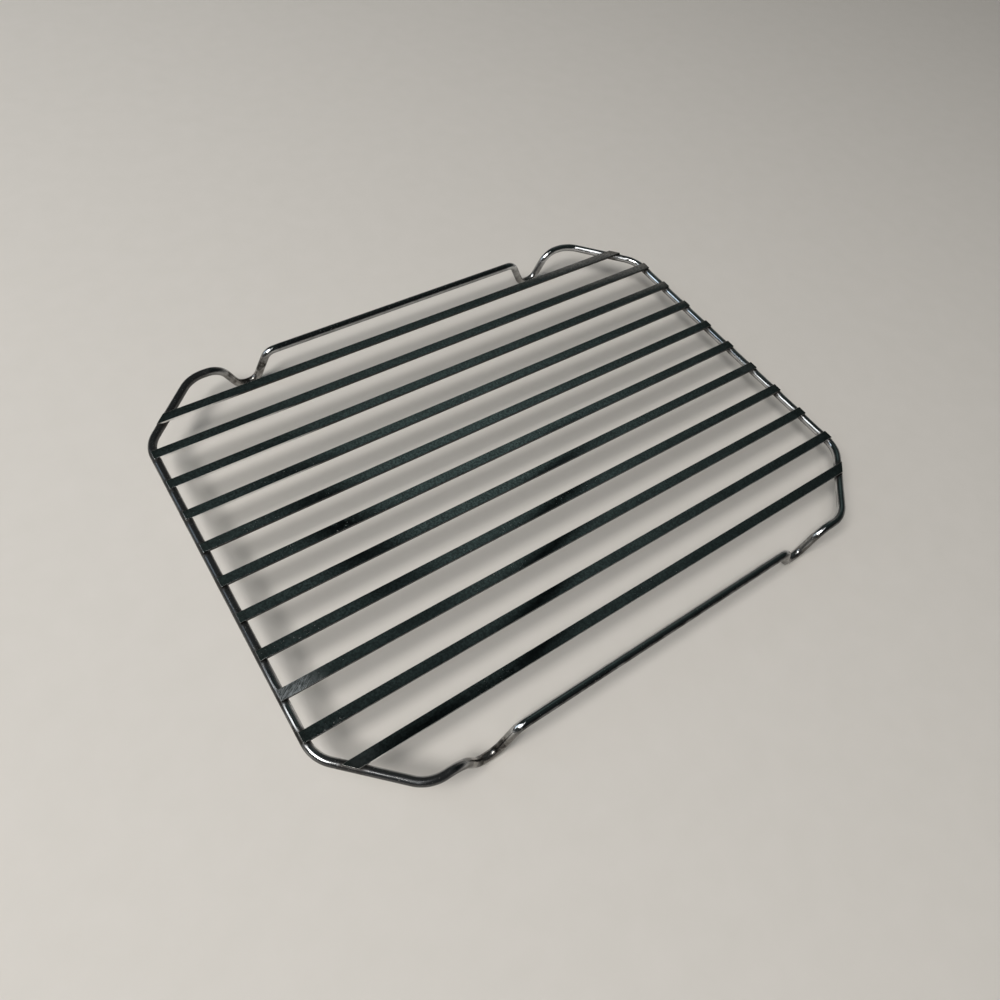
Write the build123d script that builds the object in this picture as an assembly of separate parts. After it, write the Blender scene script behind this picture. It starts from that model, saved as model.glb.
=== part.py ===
from build123d import *
import os
from math import radians, sqrt, tan

# Broiler pan rack: flat slats welded across a closed frame of bent round wire.
# Millimetres. X runs along the slats, Z is up. The feet stand on Z = 0, and the origin is under
# the middle of the rack.

# Slats: flat bar with its upper edges rounded, laid across the frame on top of the wire
slat_count = 11
slat_pitch = 22.0
slat_width = 5.7
slat_thickness = 1.5
slat_edge_radius = 0.25
slat_end_past_wire = 1.0    # from the centreline of the wire under a slat's end to that end
weld_set_down = 0.3         # how far the weld sinks a slat into the wire

# Frame: centreline sizes of the wire
wire_diameter = 4.75
frame_length = 349.0        # between the two short sides
outer_slat_gap = 24.0       # from the last slat's centreline to the long side beside it
corner_cut = 36.5           # what each 45 degree corner takes off both sides
corner_bend_radius = 19.0

# Feet: U-shaped dips in the long sides, one beside each corner
foot_depth = 19.0           # from the frame's level down to the bottom of the dip
foot_leg_angle = 63.0       # slope of both legs, in degrees from level
foot_bottom_flat = 0.8      # straight run between the two bends of the bottom
foot_bottom_bend_radius = 8.0
foot_inner_bend_radius = 7.0
foot_outer_bend_radius = 12.0
foot_corner_run = 2.0       # straight run between a corner's bend and the foot's outer bend

# Sizes that follow
wire_radius = wire_diameter / 2
half_length = frame_length / 2
half_width = (slat_count - 1) * slat_pitch / 2 + outer_slat_gap
foot_level = wire_radius
frame_level = foot_level + foot_depth
slat_bottom = frame_level + wire_radius - weld_set_down


def bend_tangent(radius, turn):
    """Length that a bend takes up on each of the two straight runs that it joins."""
    return radius * tan(radians(turn / 2))


def quarter_corners():
    """Sharp corners of the wire in the +X +Y quarter, each with its bend radius, from the short
    side round the cut corner and through the foot to the middle of the long side."""
    leg_run = foot_depth / tan(radians(foot_leg_angle))
    bottom_run = foot_bottom_flat + 2 * bend_tangent(foot_bottom_bend_radius, foot_leg_angle)
    corner_end = half_length - corner_cut - bend_tangent(corner_bend_radius, 45)
    outer_top = corner_end - foot_corner_run - bend_tangent(foot_outer_bend_radius, foot_leg_angle)
    outer_bottom = outer_top - leg_run
    inner_bottom = outer_bottom - bottom_run
    inner_top = inner_bottom - leg_run
    return [
        ((half_length, half_width - corner_cut, frame_level), corner_bend_radius),
        ((half_length - corner_cut, half_width, frame_level), corner_bend_radius),
        ((outer_top, half_width, frame_level), foot_outer_bend_radius),
        ((outer_bottom, half_width, foot_level), foot_bottom_bend_radius),
        ((inner_bottom, half_width, foot_level), foot_bottom_bend_radius),
        ((inner_top, half_width, frame_level), foot_inner_bend_radius),
    ]


def bent_wire():
    """The whole frame: the quarter's corners mirrored into a closed loop, and a round section
    swept along it."""
    loop = []
    for side_x, side_y in ((1, 1), (-1, 1), (-1, -1), (1, -1)):
        quarter = [((side_x * x, side_y * y, z), bend) for (x, y, z), bend in quarter_corners()]
        loop += quarter if side_x == side_y else reversed(quarter)
    path = FilletPolyline([corner for corner, _ in loop], radius=[bend for _, bend in loop], close=True)
    section = Plane(origin=path @ 0, z_dir=path % 0) * Circle(wire_radius)
    return sweep(section, path)


def slat_trim():
    """Prism that cuts the slats' ends: the frame's outline with sharp corners, set out from the
    wire's centreline by the length that the slats run past it."""
    end_x = half_length + slat_end_past_wire
    end_y = half_width + slat_end_past_wire
    cut = corner_cut + (2 - sqrt(2)) * slat_end_past_wire
    corners = []
    for side_x, side_y in ((1, 1), (-1, 1), (-1, -1), (1, -1)):
        ends = [(side_x * end_x, side_y * (end_y - cut)), (side_x * (end_x - cut), side_y * end_y)]
        corners += ends if side_x == side_y else reversed(ends)
    outline = make_face(Polyline(corners, close=True))
    return Pos(Z=slat_bottom) * extrude(outline, slat_thickness)


def slat(y, trim):
    """One flat bar with its centreline at y, cut to length by the trim."""
    flat = Rectangle(slat_width, slat_thickness)
    section = fillet(flat.vertices().group_by(Axis.Y)[-1], slat_edge_radius)
    middle = Plane(origin=(0, y, slat_bottom + slat_thickness / 2), x_dir=(0, 1, 0), z_dir=(1, 0, 0))
    return extrude(middle * section, frame_length, both=True) & trim


trim = slat_trim()
slats = [slat((row - (slat_count - 1) / 2) * -slat_pitch, trim) for row in range(slat_count)]

# The wire is flattened under each slat, so that the slat beds into it face to face
frame_wire = bent_wire() - slats

os.makedirs("parts", exist_ok=True)
export_step(frame_wire, "parts/frame_wire.step")
for number, bar in enumerate(slats, start=1):
    export_step(bar, f"parts/slat_{number:02d}.step")
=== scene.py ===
import random
from math import ceil, cos, e, exp, pi, radians, sin, tan

import bpy
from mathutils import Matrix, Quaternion, Vector


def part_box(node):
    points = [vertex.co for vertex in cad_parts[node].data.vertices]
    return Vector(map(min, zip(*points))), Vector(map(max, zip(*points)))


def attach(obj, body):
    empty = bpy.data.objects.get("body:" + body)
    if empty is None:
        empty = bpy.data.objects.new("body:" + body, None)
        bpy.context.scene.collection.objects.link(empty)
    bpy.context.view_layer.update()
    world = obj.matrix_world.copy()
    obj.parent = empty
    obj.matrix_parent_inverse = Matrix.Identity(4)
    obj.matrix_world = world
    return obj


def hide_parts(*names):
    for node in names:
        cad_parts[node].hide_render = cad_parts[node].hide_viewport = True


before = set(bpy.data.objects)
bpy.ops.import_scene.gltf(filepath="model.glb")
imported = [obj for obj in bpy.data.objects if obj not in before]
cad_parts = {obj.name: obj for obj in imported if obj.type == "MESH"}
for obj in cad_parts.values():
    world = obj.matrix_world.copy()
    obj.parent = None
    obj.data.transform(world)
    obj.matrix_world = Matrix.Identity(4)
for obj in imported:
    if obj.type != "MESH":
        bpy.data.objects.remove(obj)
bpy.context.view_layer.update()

# Broiler pan rack: chromed flat bars welded across a closed frame of bent chromed wire.
# Metres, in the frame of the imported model: X along the bars, Z up, feet on Z = 0.
mm = 0.001

# Wire: the bends of the frame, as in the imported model
wire_radius = 2.375 * mm
corner_cut = 36.5 * mm          # what each 45 degree corner takes off both sides
corner_bend_radius = 19.0 * mm
foot_leg_angle = radians(63.0)
foot_bottom_flat = 0.8 * mm
foot_bottom_bend_radius = 8.0 * mm
foot_inner_bend_radius = 7.0 * mm
foot_outer_bend_radius = 12.0 * mm
foot_corner_run = 2.0 * mm

# Wire: what making and use leave on it
wire_sides = 40
wire_step = 0.7 * mm            # between rings
weld_collar = 0.05 * mm         # metal squeezed up beside a bar
weld_collar_reach = 0.7 * mm
weld_burn_and_shade_reach = 2.0 * mm      # how far the wire is browned beside a bar, partly painted shade where bar meets wire
seat_gap = 0.002 * mm           # between a bar and the flat under it
painted_shade_end = -75 * mm          # painted shade darkens the left side from its far end to this Y
painted_shade_blend = 32 * mm
left_corner_y = 90 * mm         # the left corners begin at this Y, and both get the painted shade
left_corner_x = -116 * mm       # up to this X
left_corner_blend = 14 * mm
left_corner_film_and_shade = 0.35         # the film, partly painted shade, reaches farther in at the far one, and less far at the near one
far_painted_shade = 0.65              # the far side between its feet gets less of the painted shade
far_painted_shade_end = 86 * mm
wear_height = 23 * mm           # how far up the feet are stained
right_foot_stain = 0.6          # the right feet's share of the stain that the left ones have
stain_change = 60 * mm          # the stain changes within this distance of the middle
butt_weld_x = -5.0 * mm         # where the wire's two ends meet, on the far long side
butt_weld_width = 2.2 * mm
butt_weld_groove = 0.14 * mm
draw_wave = 0.012 * mm          # unevenness of the drawn wire
draw_waves = ((0.6, 410, 2), (0.4, 1130, 1))    # share, radians per metre, waves round the wire
tight_bend = 15.0 * mm          # bends below this radius are creased inside and flattened outside
bend_crease = 0.07 * mm
bend_crease_pitch = 2.7 * mm
bend_flat = 0.05 * mm

# Bars: flat bar with rounded upper edges
bar_edge_radius = 0.25 * mm
bar_lower_edge = 0.12 * mm      # broken lower edges
bar_crown = 0.015 * mm          # how far the top falls from its middle to its edges
bar_wave = 0.03 * mm            # unevenness of the rolled bar along its length
bar_wave_rates = (47, 113, 191)     # radians per metre
bar_step = 3.0 * mm
bar_end_round = 0.1 * mm
bar_end_middle = 0.3 * bar_end_round    # the middle of that rounding, from both faces
bar_edge_steps = 6              # faces round an upper edge
bar_top_steps = 5               # faces from the middle of the top to an edge
bar_sharp_angle = radians(50)   # edges turned more than this are shaded sharp
edge_hold = 0.05 * mm           # extra points this far inside an edge keep the flat beside it flat
weld_print_depth = 0.02 * mm    # electrode print on top of a bar, over the wire
weld_print_reach = 3.5 * mm
weld_print_inset = 0.5 * mm     # from a bar's end to the middle of the print

# Bars: scuffs, each with its bar counted from the far side, middle X, reach and strength
scuffs = ((9, -170 * mm, 15 * mm, 1.0), (11, -158 * mm, 8 * mm, 0.2), (7, 168 * mm, 8 * mm, 0.2))
scuff_slant = radians(-35)

# Bars: stains on top
dirty_from = 5                  # the bar from which on they are at full strength
dirty_left, dirty_right = -20 * mm, 70 * mm     # they thin out from the first X to the second
dirt_thinning = 0.85            # how much of them is gone there

# Bars: near sides kept bright, without the darker side colour, by bar, from an X to the left end
kept_bright_from = {1: -148 * mm, 2: -125 * mm, 3: -120 * mm, 4: -130 * mm, 11: -152 * mm}
kept_bright_blend = 30 * mm

wire_low, wire_high = (Vector(corner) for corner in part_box("frame_wire"))
half_length = wire_high.x - wire_radius
half_width = wire_high.y - wire_radius
foot_level = wire_low.z + wire_radius
frame_level = wire_high.z - wire_radius
foot_depth = frame_level - foot_level

slat_names = sorted(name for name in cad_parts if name.startswith("slat_"))
slat_boxes = {name: tuple(Vector(corner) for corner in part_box(name)) for name in slat_names}
slat_bottom = slat_boxes[slat_names[0]][0].z


# Wire mesh

def bend_tangent(radius, turn):
    """Length that a bend takes up on each of the two straight runs that it joins."""
    return radius * tan(turn / 2)


def wire_corners():
    """Sharp corners of the wire's centreline, each with its bend radius, counter-clockwise."""
    leg_run = foot_depth / tan(foot_leg_angle)
    bottom_run = foot_bottom_flat + 2 * bend_tangent(foot_bottom_bend_radius, foot_leg_angle)
    corner_end = half_length - corner_cut - bend_tangent(corner_bend_radius, pi / 4)
    outer_top = corner_end - foot_corner_run - bend_tangent(foot_outer_bend_radius, foot_leg_angle)
    outer_bottom = outer_top - leg_run
    inner_bottom = outer_bottom - bottom_run
    quarter = [
        ((half_length, half_width - corner_cut, frame_level), corner_bend_radius),
        ((half_length - corner_cut, half_width, frame_level), corner_bend_radius),
        ((outer_top, half_width, frame_level), foot_outer_bend_radius),
        ((outer_bottom, half_width, foot_level), foot_bottom_bend_radius),
        ((inner_bottom, half_width, foot_level), foot_bottom_bend_radius),
        ((inner_bottom - leg_run, half_width, frame_level), foot_inner_bend_radius),
    ]
    loop = []
    for side_x, side_y in ((1, 1), (-1, 1), (-1, -1), (1, -1)):
        turned = [(Vector((side_x * x, side_y * y, z)), bend) for (x, y, z), bend in quarter]
        loop += turned if side_x == side_y else turned[::-1]
    return loop


def wire_stations():
    """Points along the closed centreline. Each comes with its direction and, in a tight bend, the
    direction of the bend's middle."""
    loop = wire_corners()
    bends = []
    for index, (corner, radius) in enumerate(loop):
        inward = (corner - loop[index - 1][0]).normalized()
        outward = (loop[(index + 1) % len(loop)][0] - corner).normalized()
        turn = inward.angle(outward)
        reach = bend_tangent(radius, turn)
        bends.append((corner - inward * reach, corner + outward * reach, inward, outward, radius, turn))
    stations = []
    for index, (start, _, inward, outward, radius, turn) in enumerate(bends):
        run_start = bends[index - 1][1]
        count = ceil((start - run_start).length / wire_step)
        straight = Vector((0, 0, 0))
        stations += [(run_start.lerp(start, step / count), inward, straight) for step in range(count)]
        across = (outward - inward * cos(turn)).normalized()
        count = ceil(radius * turn / wire_step)
        for step in range(count):
            angle = turn * step / count
            place = start + (inward * sin(angle) + across * (1 - cos(angle))) * radius
            centre = across * cos(angle) - inward * sin(angle)
            tightness = sin(angle / turn * pi) if radius < tight_bend else 0.0
            stations.append((place, inward * cos(angle) + across * sin(angle), centre * tightness))
    return stations


def bar_end(name, y):
    """How far a bar reaches along X at y. The first and last bars are cut at 45 degrees."""
    low, high = slat_boxes[name]
    if name not in (slat_names[0], slat_names[-1]):
        return high.x
    inner_edge = low.y if low.y > 0 else high.y
    return high.x - abs(y - inner_edge)


def beside_bar(place):
    """How far a point is outside the nearest bar, seen from above, below 0 where it is under it."""
    gaps = {name: max(low.y - place.y, place.y - high.y) for name, (low, high) in slat_boxes.items()}
    name = min(gaps, key=gaps.get)
    return max(gaps[name], abs(place.x) - bar_end(name, place.y))


def butt_weld_dip(place):
    """Depth of the two dressed grooves beside the butt weld."""
    if place.y < half_width - wire_radius:
        return 0.0
    across = (place.x - butt_weld_x) / butt_weld_width
    return butt_weld_groove * 4 * across * across * exp(-4 * across * across)


def share_between(value, none, full):
    """0 where value is at none or beyond it, 1 at full or beyond, and in between in proportion."""
    return min(max((value - none) / (full - none), 0.0), 1.0)


def painted_shade_at(place):
    """How much painted shade darkens the wire, from 0 to 1: its left side, both corners there and
    the far side.
    """
    left = share_between(place.y, painted_shade_end, painted_shade_end + painted_shade_blend)
    near_corner = share_between(place.y, -left_corner_y, -left_corner_y - left_corner_blend)
    left_of_feet = share_between(place.x, left_corner_x, left_corner_x - left_corner_blend)
    far = share_between(place.y, half_width - wire_radius, half_width)
    far *= share_between(abs(place.x), far_painted_shade_end, far_painted_shade_end - wire_radius)
    return max(max(left, near_corner) * left_of_feet, far * far_painted_shade)


def corner_film_and_shade(place):
    """How much farther in the dark film, partly painted shade, reaches at a left corner, below 0 where
    it reaches less far.
    """
    if place.x > left_corner_x or abs(place.y) < left_corner_y:
        return 0.0
    return left_corner_film_and_shade if place.y > 0 else -left_corner_film_and_shade


def wire_mesh():
    """The wire as rings round its centreline, flattened under the bars and collared beside them."""
    stations = wire_stations()
    vertices, faces = [], []
    marks = {"weld": [], "wear": [], "painted_shade": [], "outer": []}
    length = 0.0
    lengths = []
    for index, (place, along, centre) in enumerate(stations):
        if index:
            length += (place - stations[index - 1][0]).length
        lengths.append(length)
        side = Vector((0, 0, 1)).cross(along).normalized()
        top = along.cross(side)
        carries = abs(place.x) > half_length - corner_cut - wire_radius
        crease = bend_crease * (0.5 + 0.5 * sin(2 * pi * length / bend_crease_pitch))
        for step in range(wire_sides):
            angle = 2 * pi * step / wire_sides
            around = side * cos(angle) + top * sin(angle)
            inside = around.dot(centre)
            wave = sum(share * sin(length * rate + turns * angle) for share, rate, turns in draw_waves)
            radius = wire_radius - draw_wave * (1 + wave) / 2 - butt_weld_dip(place)
            radius -= crease * max(inside, 0) ** 2 + bend_flat * min(inside, 0) ** 2
            point = place + around * radius
            weld = 0.0
            if carries:
                gap = beside_bar(point)
                if gap > 0:
                    upper = max(0.0, sin(angle)) ** 2
                    point += around * weld_collar * upper * exp(-(gap / weld_collar_reach) ** 2)
                else:
                    point.z = min(point.z, slat_bottom - seat_gap)
                weld = exp(-(max(gap, 0) / weld_burn_and_shade_reach) ** 2)
            vertices.append(point)
            marks["weld"].append(weld)
            marks["wear"].append(max(0.0, 1 - (point.z - wire_low.z) / wear_height))
            marks["painted_shade"].append(painted_shade_at(place))
            marks["outer"].append(corner_film_and_shade(place) - cos(angle))
    rings = len(stations)
    for ring in range(rings):
        following = (ring + 1) % rings
        for step in range(wire_sides):
            turn = (step + 1) % wire_sides
            faces.append((ring * wire_sides + step, ring * wire_sides + turn,
                          following * wire_sides + turn, following * wire_sides + step))
    mesh = bpy.data.meshes.new("rack_wire")
    mesh.from_pydata(vertices, [], faces)
    for mark, values in marks.items():
        add_values(mesh, mark, values)
    line = mesh.uv_layers.new(name="along_wire")
    total = length + (stations[0][0] - stations[-1][0]).length
    for polygon in mesh.polygons:
        ring, step = divmod(polygon.index, wire_sides)
        here = lengths[ring]
        there = lengths[ring + 1] if ring + 1 < rings else total
        corners = ((here, step), (here, step + 1), (there, step + 1), (there, step))
        for loop_index, (run, turn) in zip(polygon.loop_indices, corners):
            line.data[loop_index].uv = (run, turn / wire_sides * 2 * pi * wire_radius)
    return mesh


def add_values(mesh, name, values):
    """One number for each vertex, for the materials to read."""
    mesh.attributes.new(name, "FLOAT", "POINT").data.foreach_set("value", values)


# Bar meshes

def bar_profile(width, thickness):
    """Section of a bar as (across, height) from its bottom middle, counter-clockwise from the
    lower left: broken lower edges, rounded upper edges and a crowned top."""
    half = width / 2
    shoulder = half - bar_edge_radius
    points = [(-half + bar_lower_edge, 0.0)]
    points += [(across * shoulder / 3, 0.0) for across in (-1, 1)]
    points += [(half - bar_lower_edge, 0.0), (half, bar_lower_edge), (half, bar_lower_edge + edge_hold)]
    right = []
    for step in range(bar_edge_steps + 1):
        angle = pi / 2 * step / bar_edge_steps
        right.append((shoulder + bar_edge_radius * cos(angle),
                      thickness - bar_crown - bar_edge_radius * (1 - sin(angle))))
    points += right
    tops = [shoulder * (1 - step / bar_top_steps) for step in range(1, 2 * bar_top_steps)]
    tops = [shoulder - edge_hold] + tops + [edge_hold - shoulder]
    points += [(across, thickness - bar_crown * (across / shoulder) ** 2) for across in tops]
    points += [(-across, height) for across, height in right[::-1]]
    points += [(-half, bar_lower_edge + edge_hold), (-half, bar_lower_edge)]
    return points


def bar_mesh(name, number):
    """A bar lofted along X from its section, with rounded ends and the prints of the welds."""
    low, high = slat_boxes[name]
    middle = (low.y + high.y) / 2
    profile = bar_profile(high.y - low.y, high.z - low.z)
    steps = ceil((high.x - low.x) / bar_step)
    left_end = [(-1 + reach / high.x, shrink) for reach, shrink in (
        (0.0, bar_end_round), (bar_end_middle, bar_end_middle),
        (bar_end_round, 0.0), (bar_end_round + edge_hold, 0.0))]
    right_end = [(-share, shrink) for share, shrink in left_end[::-1]]
    stops = left_end + [(2 * step / steps - 1, 0.0) for step in range(1, steps)] + right_end
    shake = random.Random(number)
    phases = [shake.uniform(0, 2 * pi) for _ in bar_wave_rates]
    vertices = []
    marks = {"weld": [], "scuff": [], "kept_bright": [], "dirt": []}
    for share, shrink in stops:
        for across, height in profile:
            across *= 1 - shrink / (high.y - low.y)
            height = max(height - shrink, 0) if height > bar_edge_radius else height
            y = middle + across
            end = bar_end(name, y)
            x = share * end
            wave = sum(sin(x * rate + phase) for rate, phase in zip(bar_wave_rates, phases))
            over_wire = exp(-((abs(x) - end + weld_print_inset) / weld_print_reach) ** 2)
            drop = bar_wave * (1 + wave / len(phases)) / 2 + weld_print_depth * over_wire
            z = low.z + height - (drop if height > bar_edge_radius else 0)
            vertices.append((x, y, z))
            marks["weld"].append(over_wire)
            marks["scuff"].append(scuff_at(number, x))
            marks["kept_bright"].append(kept_bright_at(number, x) if across < 0 else 0.0)
            marks["dirt"].append(dirt_at(number, x))
    sides = len(profile)
    faces = [range(sides)[::-1], range((len(stops) - 1) * sides, len(stops) * sides)]
    for stop in range(len(stops) - 1):
        for step in range(sides):
            turn = (step + 1) % sides
            faces.append((stop * sides + step, stop * sides + turn,
                          (stop + 1) * sides + turn, (stop + 1) * sides + step))
    mesh = bpy.data.meshes.new(name.replace("slat", "bar"))
    mesh.from_pydata(vertices, [], faces)
    for mark, values in marks.items():
        add_values(mesh, mark, values)
    return mesh


def scuff_at(number, x):
    """How scuffed a bar is at x, from 0 to 1."""
    found = [strength * exp(-((x - middle) / reach) ** 4)
             for bar, middle, reach, strength in scuffs if bar == number]
    return max(found, default=0.0)


def dirt_at(number, x):
    """How stained the top of a bar is at x, from 0 to 1."""
    thinned = 1 - dirt_thinning * share_between(x, dirty_left, dirty_right)
    return min(number / dirty_from, 1.0) * thinned


def kept_bright_at(number, x):
    """How far a bar's near side at x keeps the bright plate instead of the darker side colour, from 0
    to 1.
    """
    if number not in kept_bright_from:
        return 0.0
    return share_between(x, kept_bright_from[number] + kept_bright_blend, kept_bright_from[number])


# Materials

# Wire: colours, and noise scales in features per metre
wire_plate = (0.72, 0.73, 0.74, 1)
wire_plate_dull = (0.56, 0.57, 0.57, 1)
# Dark film outside and underneath the wire: partly fat, partly painted shade
wire_film_and_shade = (0.04, 0.041, 0.042, 1)
# Painted shade on the left, corner and far parts of the wire
wire_painted_shade = (0.072, 0.074, 0.076, 1)
# Beside the welds: heat tint, and painted shade where bar meets wire
weld_burn_and_shade = (0.03, 0.028, 0.026, 1)
wire_pit = (0.30, 0.28, 0.26, 1)
foot_stain = (0.21, 0.20, 0.185, 1)
foot_soot = (0.025, 0.023, 0.02, 1)
wire_line_scale = (60, 5200, 1)     # along the wire and round it
wire_film_scale = 140.0
wire_blotch_scale = 420.0
wire_pit_scale = 1500.0
wire_rough = (0.07, 0.13)       # where the plate is bright and where it is dull
wire_bump = 0.12

# Bars: the same, with three scales where they differ along X, Y and Z
bar_plate = (0.755, 0.788, 0.783, 1)
bar_plate_dull = (0.60, 0.634, 0.634, 1)
bar_grain = (0.15, 0.156, 0.155, 1)
bar_weld_tint = (0.36, 0.34, 0.31, 1)
bar_speck = (0.47, 0.44, 0.40, 1)
bar_scrape = (0.52, 0.55, 0.57, 1)
# Darker upright sides of the bars, and near sides kept bright
bar_side_dark = (0.055, 0.052, 0.048, 1)
bar_side_bright = (0.92, 0.92, 0.91, 1)
bar_rub_scale = (55, 2600, 900)
bar_film_scale = (38, 260, 60)
bar_streak_scale = (230, 1500, 200)
bar_grain_scale = 950.0
bar_patch_scale = 26.0
bar_stain_scale = 330.0
bar_speck_scale = 1300.0
bar_rough = (0.05, 0.10)
bar_bump = 0.1

bump_height = 0.05 * mm
stained_metal = 0.9             # how metallic the plate still is under stains
painted_shade_metal = 0.84          # and under the heaviest painted shade

floor_warm = (0.70, 0.665, 0.615, 1)
floor_pale = (0.74, 0.70, 0.655, 1)
floor_mottle_scale = 60.0
floor_rough = 0.9


def set_socket(tree, socket, value):
    """Give a socket a number or a colour, or link another node's output to it."""
    if isinstance(value, bpy.types.NodeSocket):
        tree.links.new(value, socket)
    else:
        socket.default_value = value


def add_node(tree, kind, **inputs):
    """A node with its inputs set, by their names with _ for a space."""
    node = tree.nodes.new(kind)
    for name, value in inputs.items():
        set_socket(tree, node.inputs[name.replace("_", " ")], value)
    return node


def add_ramp(tree, value, low, high, dark=0.0, light=1.0):
    """value stretched so that low becomes dark and high becomes light, held outside them."""
    node = add_node(tree, "ShaderNodeMapRange", Value=value, From_Min=low, From_Max=high,
                    To_Min=dark, To_Max=light)
    return node.outputs["Result"]


def add_mix(tree, share, first, second):
    """A colour between two colours or colour outputs."""
    node = tree.nodes.new("ShaderNodeMix")
    node.data_type = "RGBA"
    for index, value in ((0, share), (6, first), (7, second)):
        set_socket(tree, node.inputs[index], value)
    return node.outputs[2]


def add_math(tree, operation, first, second):
    """One sum of two numbers or outputs."""
    node = tree.nodes.new("ShaderNodeMath")
    node.operation = operation
    for index, value in enumerate((first, second)):
        set_socket(tree, node.inputs[index], value)
    return node.outputs["Value"]


def add_noise(tree, vector, scale, stretch=(1, 1, 1), detail=2.0):
    """Noise on coordinates that are stretched first."""
    place = add_node(tree, "ShaderNodeMapping", Vector=vector, Scale=stretch)
    node = add_node(tree, "ShaderNodeTexNoise", Vector=place.outputs["Vector"],
                    Scale=scale, Detail=detail)
    return node.outputs["Fac"]


def add_values_reader(tree, name):
    """The vertex numbers kept under a name."""
    node = tree.nodes.new("ShaderNodeAttribute")
    node.attribute_name = name
    return node.outputs["Fac"]


def add_upward(tree):
    """How far a surface faces up: 1 level, 0 upright, below 0 underneath."""
    normal = tree.nodes.new("ShaderNodeNewGeometry").outputs["Normal"]
    return add_node(tree, "ShaderNodeSeparateXYZ", Vector=normal).outputs["Z"]


def new_material(name):
    """An empty node material with its metal shader."""
    material = bpy.data.materials.new(name)
    material.use_nodes = True
    tree = material.node_tree
    tree.nodes.clear()
    shader = tree.nodes.new("ShaderNodeBsdfPrincipled")
    shader.inputs["Metallic"].default_value = 1.0
    output = tree.nodes.new("ShaderNodeOutputMaterial")
    tree.links.new(shader.outputs["BSDF"], output.inputs["Surface"])
    return material, tree, shader


def finish_chrome(tree, shader, colour, metal, rough, height, bump):
    """Link a chrome's colour, metal share, roughness and fine relief to its shader."""
    relief = add_node(tree, "ShaderNodeBump", Strength=bump, Distance=bump_height, Height=height)
    tree.links.new(colour, shader.inputs["Base Color"])
    tree.links.new(metal, shader.inputs["Metallic"])
    tree.links.new(rough, shader.inputs["Roughness"])
    tree.links.new(relief.outputs["Normal"], shader.inputs["Normal"])


def wire_chrome():
    """Bright chrome over drawn wire: fine lines along it, a dark film on the outside of the frame and
    underneath that is partly cooked-on fat and partly painted shade, painted shade on the left and far
    sides, darkening beside welds from heat tint and painted shade, and stains at the feet, more at the
    left ones."""
    material, tree, shader = new_material("wire_chrome")
    line = tree.nodes.new("ShaderNodeUVMap")
    line.uv_map = "along_wire"
    place = tree.nodes.new("ShaderNodeTexCoord").outputs["Object"]
    weld = add_values_reader(tree, "weld")
    wear = add_values_reader(tree, "wear")
    painted_shade = add_values_reader(tree, "painted_shade")
    outer = add_values_reader(tree, "outer")
    drawn = add_noise(tree, line.outputs["UV"], 1.0, wire_line_scale, 3.0)
    film = add_noise(tree, place, wire_film_scale, detail=4.0)
    blotches = add_noise(tree, place, wire_blotch_scale, detail=4.0)
    pits = add_ramp(tree, add_noise(tree, place, wire_pit_scale), 0.66, 0.74)
    stained = add_math(tree, "MULTIPLY", add_ramp(tree, wear, 0.0, 0.35),
                       add_ramp(tree, blotches, 0.36, 0.6, 0.68, 1.0))
    side = add_node(tree, "ShaderNodeSeparateXYZ", Vector=place).outputs["X"]
    dirtier = add_ramp(tree, side, -stain_change, stain_change, 1.0, right_foot_stain)
    stained = add_math(tree, "MULTIPLY", stained, dirtier)
    soot = add_math(tree, "MULTIPLY", dirtier, add_ramp(tree, film, 0.47, 0.56))
    soot = add_math(tree, "MULTIPLY", stained, soot)
    # Beside the welds the wire is darkened: partly heat tint, partly painted shade where bar meets wire.
    darkened = add_math(tree, "MULTIPLY", weld, add_ramp(tree, film, 0.3, 0.6, 0.5, 1.0))
    # Dark film on the outside of the frame and underneath: partly fat cooked on, partly painted shade.
    film_and_shade = add_math(tree, "MAXIMUM", add_ramp(tree, outer, 0.30, 0.65),
                     add_ramp(tree, add_upward(tree), -0.5, 0.0, 1.0, 0.0))
    film_and_shade = add_math(tree, "MULTIPLY", film_and_shade, add_ramp(tree, film, 0.3, 0.6, 0.75, 1.0))
    # Painted shade: the plating is darkened and dulled where the shade mark is set, less on the inside.
    dimmed = add_math(tree, "MULTIPLY", painted_shade, add_ramp(tree, outer, -1.3, -0.7, 0.2, 0.97))
    colour = add_mix(tree, add_ramp(tree, film, 0.4, 0.75), wire_plate, wire_plate_dull)
    colour = add_mix(tree, film_and_shade, colour, wire_film_and_shade)
    colour = add_mix(tree, dimmed, colour, wire_painted_shade)
    colour = add_mix(tree, darkened, colour, weld_burn_and_shade)
    colour = add_mix(tree, stained, colour, foot_stain)
    colour = add_mix(tree, soot, colour, foot_soot)
    colour = add_mix(tree, pits, colour, wire_pit)
    rough = add_ramp(tree, film, 0.35, 0.75, *wire_rough)
    dulled = add_math(tree, "MAXIMUM", film_and_shade, dimmed)
    for stain, more in ((dulled, 0.12), (darkened, 0.3), (stained, 0.1), (pits, 0.2)):
        rough = add_math(tree, "ADD", rough, add_math(tree, "MULTIPLY", stain, more))
    metal = add_math(tree, "MINIMUM", add_ramp(tree, stained, 0.0, 1.0, 1.0, stained_metal),
                     add_ramp(tree, dimmed, 0.66, 0.97, 1.0, painted_shade_metal))
    height = add_math(tree, "ADD", drawn, add_math(tree, "MULTIPLY", stained, blotches))
    finish_chrome(tree, shader, colour, metal, rough, height, wire_bump)
    return material


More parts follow.
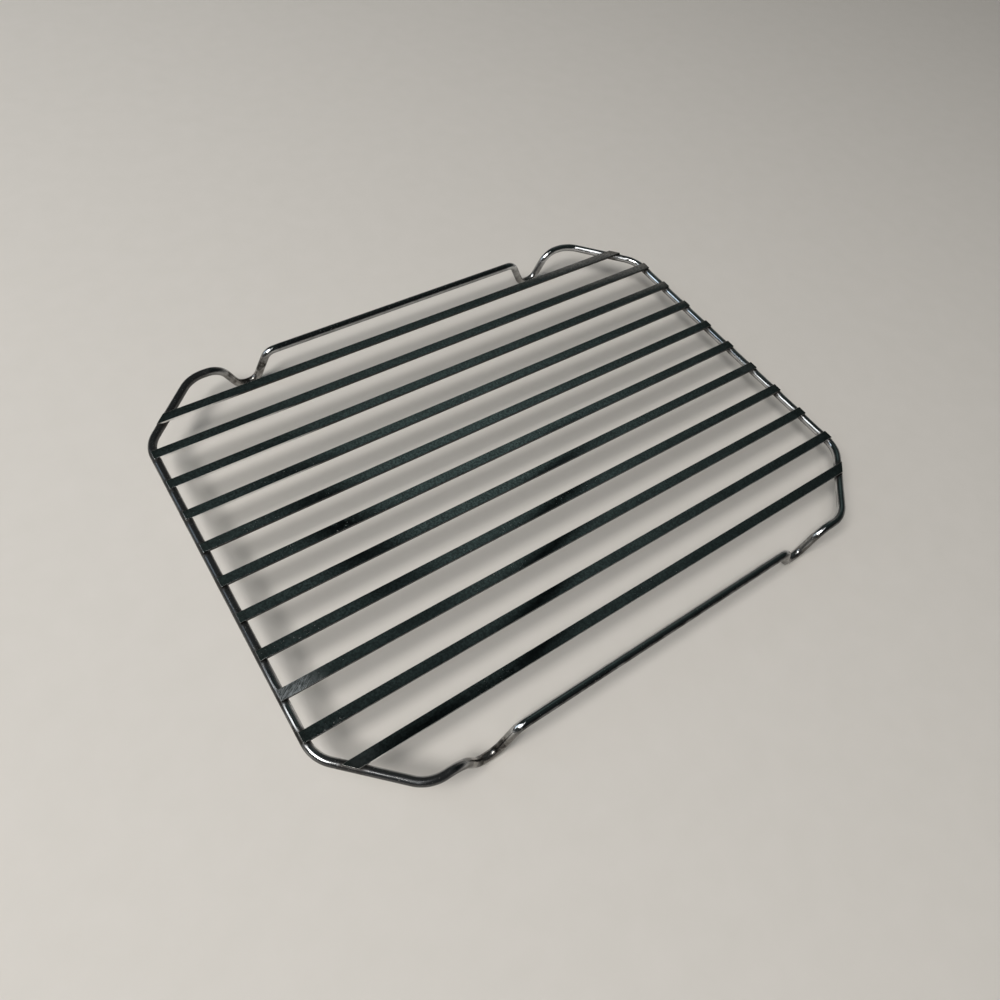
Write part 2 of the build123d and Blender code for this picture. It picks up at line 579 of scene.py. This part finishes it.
def bar_chrome():
    """Chrome over rolled flat bar: rubbed along its length, with baked-on stains and specks, scuffs
    and a darker tint over the welds."""
    material, tree, shader = new_material("bar_chrome")
    place = tree.nodes.new("ShaderNodeTexCoord").outputs["Object"]
    weld = add_values_reader(tree, "weld")
    scuff = add_values_reader(tree, "scuff")
    kept_bright = add_values_reader(tree, "kept_bright")
    dirt = add_values_reader(tree, "dirt")
    rubbed = add_noise(tree, place, 1.0, bar_rub_scale, 3.0)
    film = add_noise(tree, place, 1.0, bar_film_scale, 4.0)
    grain = add_ramp(tree, add_noise(tree, place, bar_grain_scale, detail=3.0), 0.36, 0.64, 0.0, 0.68)
    patches = add_ramp(tree, add_noise(tree, place, bar_patch_scale, detail=1.0), 0.42, 0.60)
    patches = add_math(tree, "MULTIPLY", dirt, patches)
    stains = add_ramp(tree, add_noise(tree, place, bar_stain_scale, detail=5.0), 0.50, 0.70)
    stains = add_math(tree, "MULTIPLY", patches, stains)
    specks = add_ramp(tree, add_noise(tree, place, bar_speck_scale), 0.68, 0.76)
    specks = add_math(tree, "MULTIPLY", patches, specks)
    turned = add_node(tree, "ShaderNodeMapping", Vector=place, Rotation=(0, 0, scuff_slant))
    streaks = add_noise(tree, turned.outputs["Vector"], 1.0, bar_streak_scale, 3.0)
    scrape = add_math(tree, "MULTIPLY", scuff, add_ramp(tree, streaks, 0.35, 0.65, 0.35, 1.0))
    colour = add_mix(tree, add_ramp(tree, film, 0.35, 0.7), bar_plate, bar_plate_dull)
    colour = add_mix(tree, grain, colour, bar_grain)
    colour = add_mix(tree, add_math(tree, "MULTIPLY", weld, 0.5), colour, bar_weld_tint)
    colour = add_mix(tree, specks, colour, bar_speck)
    colour = add_mix(tree, scrape, colour, bar_scrape)
    # Upright sides are made darker, with some variation, except near sides that are kept bright.
    sides = add_ramp(tree, add_upward(tree), 0.25, 0.6, 1.0, 0.0)
    bright_sides = add_math(tree, "MULTIPLY", sides, kept_bright)
    darkened = add_math(tree, "SUBTRACT", sides, bright_sides)
    darkened = add_math(tree, "MULTIPLY", darkened, add_ramp(tree, film, 0.2, 0.4, 0.8, 1.0))
    colour = add_mix(tree, darkened, colour, bar_side_dark)
    colour = add_mix(tree, bright_sides, colour, bar_side_bright)
    rough = add_ramp(tree, film, 0.3, 0.75, *bar_rough)
    for stain, more in ((stains, 0.15), (specks, 0.35), (scrape, 0.28), (darkened, 0.3)):
        rough = add_math(tree, "ADD", rough, add_math(tree, "MULTIPLY", stain, more))
    metal = add_ramp(tree, add_math(tree, "MAXIMUM", scrape, specks), 0.0, 1.0, 1.0, stained_metal)
    height = add_math(tree, "ADD", rubbed, add_math(tree, "MULTIPLY", specks, 0.8))
    finish_chrome(tree, shader, colour, metal, rough, height, bar_bump)
    return material


def floor_paint():
    """Plain pale matt floor, faintly mottled."""
    material, tree, shader = new_material("floor_paint")
    shader.inputs["Metallic"].default_value = 0.0
    shader.inputs["Roughness"].default_value = floor_rough
    place = tree.nodes.new("ShaderNodeTexCoord").outputs["Object"]
    mottle = add_noise(tree, place, floor_mottle_scale, detail=3.0)
    colour = add_mix(tree, mottle, floor_warm, floor_pale)
    tree.links.new(colour, shader.inputs["Base Color"])
    return material


# Pieces

def add_piece(mesh, material, node):
    """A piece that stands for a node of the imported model."""
    piece = bpy.data.objects.new(mesh.name, mesh)
    bpy.context.collection.objects.link(piece)
    mesh.materials.append(material)
    mesh.polygons.foreach_set("use_smooth", [True] * len(mesh.polygons))
    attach(piece, "root")
    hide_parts(node)


add_piece(wire_mesh(), wire_chrome(), "frame_wire")
bar_finish = bar_chrome()
for number, name in enumerate(slat_names, start=1):
    bar = bar_mesh(name, number)
    bar.set_sharp_from_angle(angle=bar_sharp_angle)
    add_piece(bar, bar_finish, name)


# Floor, light and camera

floor_radius = 6.0
floor_sides = 96
floor_mesh = bpy.data.meshes.new("floor")
turns = [2 * pi * step / floor_sides for step in range(floor_sides)]
floor_edge = [(floor_radius * cos(turn), floor_radius * sin(turn), 0) for turn in turns]
floor_mesh.from_pydata(floor_edge, [], [range(floor_sides)])
floor_mesh.materials.append(floor_paint())
floor = bpy.data.objects.new("floor", floor_mesh)
bpy.context.collection.objects.link(floor)


def add_softbox(name, place, width, height, power, colour):
    """A soft rectangular lamp that faces the rack."""
    lamp = bpy.data.lights.new(name, "AREA")
    lamp.shape = "RECTANGLE"
    lamp.size = width
    lamp.size_y = height
    lamp.energy = power
    lamp.color = colour
    softbox = bpy.data.objects.new(name, lamp)
    softbox.location = place
    softbox.rotation_euler = (-softbox.location).to_track_quat("-Z", "Y").to_euler()
    bpy.context.collection.objects.link(softbox)


warm_white = (1.0, 0.985, 0.96)
cool_white = (0.97, 0.99, 1.0)
sky_blue = (0.72, 0.86, 1.0)
plain_white = (1.0, 1.0, 1.0)
add_softbox("key_light", (-1.62, -0.30, 2.27), width=1.15, height=1.15, power=62.0, colour=warm_white)
add_softbox("window_light", (-1.1, 0.39, 1.2), width=0.24, height=1.7, power=2.3, colour=cool_white)
add_softbox("sky_light", (-1.25, 1.05, 1.0), width=0.46, height=1.2, power=2.6, colour=sky_blue)
add_softbox("top_light", (-0.616, -0.774, 1.64), width=0.2, height=2.1, power=2.8, colour=plain_white)


def add_bell(tree, value, middle, reach):
    """1 where value is at middle, falling smoothly to 0 beyond reach."""
    offset = add_math(tree, "DIVIDE", add_math(tree, "SUBTRACT", value, middle), reach)
    square = add_math(tree, "MULTIPLY", offset, offset)
    return add_math(tree, "POWER", e, add_math(tree, "MULTIPLY", square, -1.0))


def add_patch(tree, first, first_span, second, second_span):
    """A soft patch of two bells, each with a value and its span, a middle and a reach."""
    first_bell = add_bell(tree, first, *first_span)
    second_bell = add_bell(tree, second, *second_span)
    return add_math(tree, "MULTIPLY", first_bell, second_bell)


ceiling_colour = (0.0120, 0.0162, 0.0158, 1)
glow_colour = (0.066, 0.091, 0.088, 1)
beam_colour = (0.0015, 0.002, 0.0024, 1)
corner_colour = (0.20, 0.187, 0.175, 1)
near_wall_colour = (0.17, 0.165, 0.16, 1)
far_wall_colour = (0.34, 0.33, 0.31, 1)

# Studio: places in the ceiling by their slopes, across for X over Z and along for Y over Z.
# A span is a middle and a reach, and an edge is where a change begins and ends.
lowest_rise = 0.05              # Z below this counts as this
glow_across, glow_along = (0.47, 0.43), (0.60, 0.33)
cross_beam_across, cross_beam_along = (0.332, 0.064), (0.58, 0.23)
cross_beam_lean = 0.16
near_beam_across, near_beam_along = (0.20, 0.12), (0.24, 0.04)
slant_beam_span, slant_beam_edge = (-0.108, 0.055), (0.50, 0.60)
corner_lean = 1.3
corner_edge, corner_along = (2.03, 2.23), (0.92, 0.35)
far_side_edge = (-0.3, 0.6)
wall_edge = (0.10, 0.36)        # by Z


def studio_world():
    """A dim studio, the same for every ray: low pale walls, a soft glow in the middle of the ceiling,
    three dark beams across it and a paler far corner, which the flat bars mirror."""
    world = bpy.data.worlds.new("studio")
    world.use_nodes = True
    tree = world.node_tree
    sky = tree.nodes["Background"]
    direction = tree.nodes.new("ShaderNodeTexCoord").outputs["Generated"]
    way = add_node(tree, "ShaderNodeSeparateXYZ", Vector=direction)
    up = add_math(tree, "MAXIMUM", way.outputs["Z"], lowest_rise)
    across = add_math(tree, "DIVIDE", way.outputs["X"], up)
    along = add_math(tree, "DIVIDE", way.outputs["Y"], up)
    glow = add_patch(tree, across, glow_across, along, glow_along)
    cross = add_math(tree, "ADD", across, add_math(tree, "MULTIPLY", along, cross_beam_lean))
    cross_beam = add_patch(tree, cross, cross_beam_across, along, cross_beam_along)
    slant = add_math(tree, "SUBTRACT", along, across)
    slant_beam = add_math(tree, "MULTIPLY", add_bell(tree, slant, *slant_beam_span),
                          add_ramp(tree, along, *slant_beam_edge, 1.0, 0.0))
    near_beam = add_patch(tree, across, near_beam_across, along, near_beam_along)
    beams = add_math(tree, "MAXIMUM", add_math(tree, "MAXIMUM", cross_beam, slant_beam), near_beam)
    ceiling = add_mix(tree, glow, ceiling_colour, glow_colour)
    ceiling = add_mix(tree, beams, ceiling, beam_colour)
    corner = add_math(tree, "ADD", across, add_math(tree, "MULTIPLY", along, corner_lean))
    corner = add_math(tree, "MULTIPLY", add_ramp(tree, corner, *corner_edge),
                      add_bell(tree, along, *corner_along))
    ceiling = add_mix(tree, corner, ceiling, corner_colour)
    far_side = add_math(tree, "ADD", way.outputs["X"], way.outputs["Y"])
    far_side = add_ramp(tree, far_side, *far_side_edge)
    wall = add_mix(tree, far_side, near_wall_colour, far_wall_colour)
    colour = add_mix(tree, add_ramp(tree, way.outputs["Z"], *wall_edge), wall, ceiling)
    tree.links.new(colour, sky.inputs["Color"])
    bpy.context.scene.world = world


studio_world()

camera_place = Vector((-0.1901, -0.1960, 0.3596))
camera_aim = Vector((-0.0180, -0.0153, 0.0))
camera_roll = radians(11.55)
camera_sensor = 36.0            # its width, in millimetres
camera_lens = 27.04             # focal length, in millimetres

camera_data = bpy.data.cameras.new("camera")
camera_data.lens = camera_lens
camera_data.sensor_width = camera_sensor
camera_data.clip_start = 0.01
camera = bpy.data.objects.new("camera", camera_data)
camera.location = camera_place
camera.rotation_mode = "QUATERNION"
facing = (camera_aim - camera_place).to_track_quat("-Z", "Y")
camera.rotation_quaternion = facing @ Quaternion((0, 0, 1), camera_roll)
bpy.context.collection.objects.link(camera)
bpy.context.scene.camera = camera
bpy.context.scene.view_settings.view_transform = "Standard"
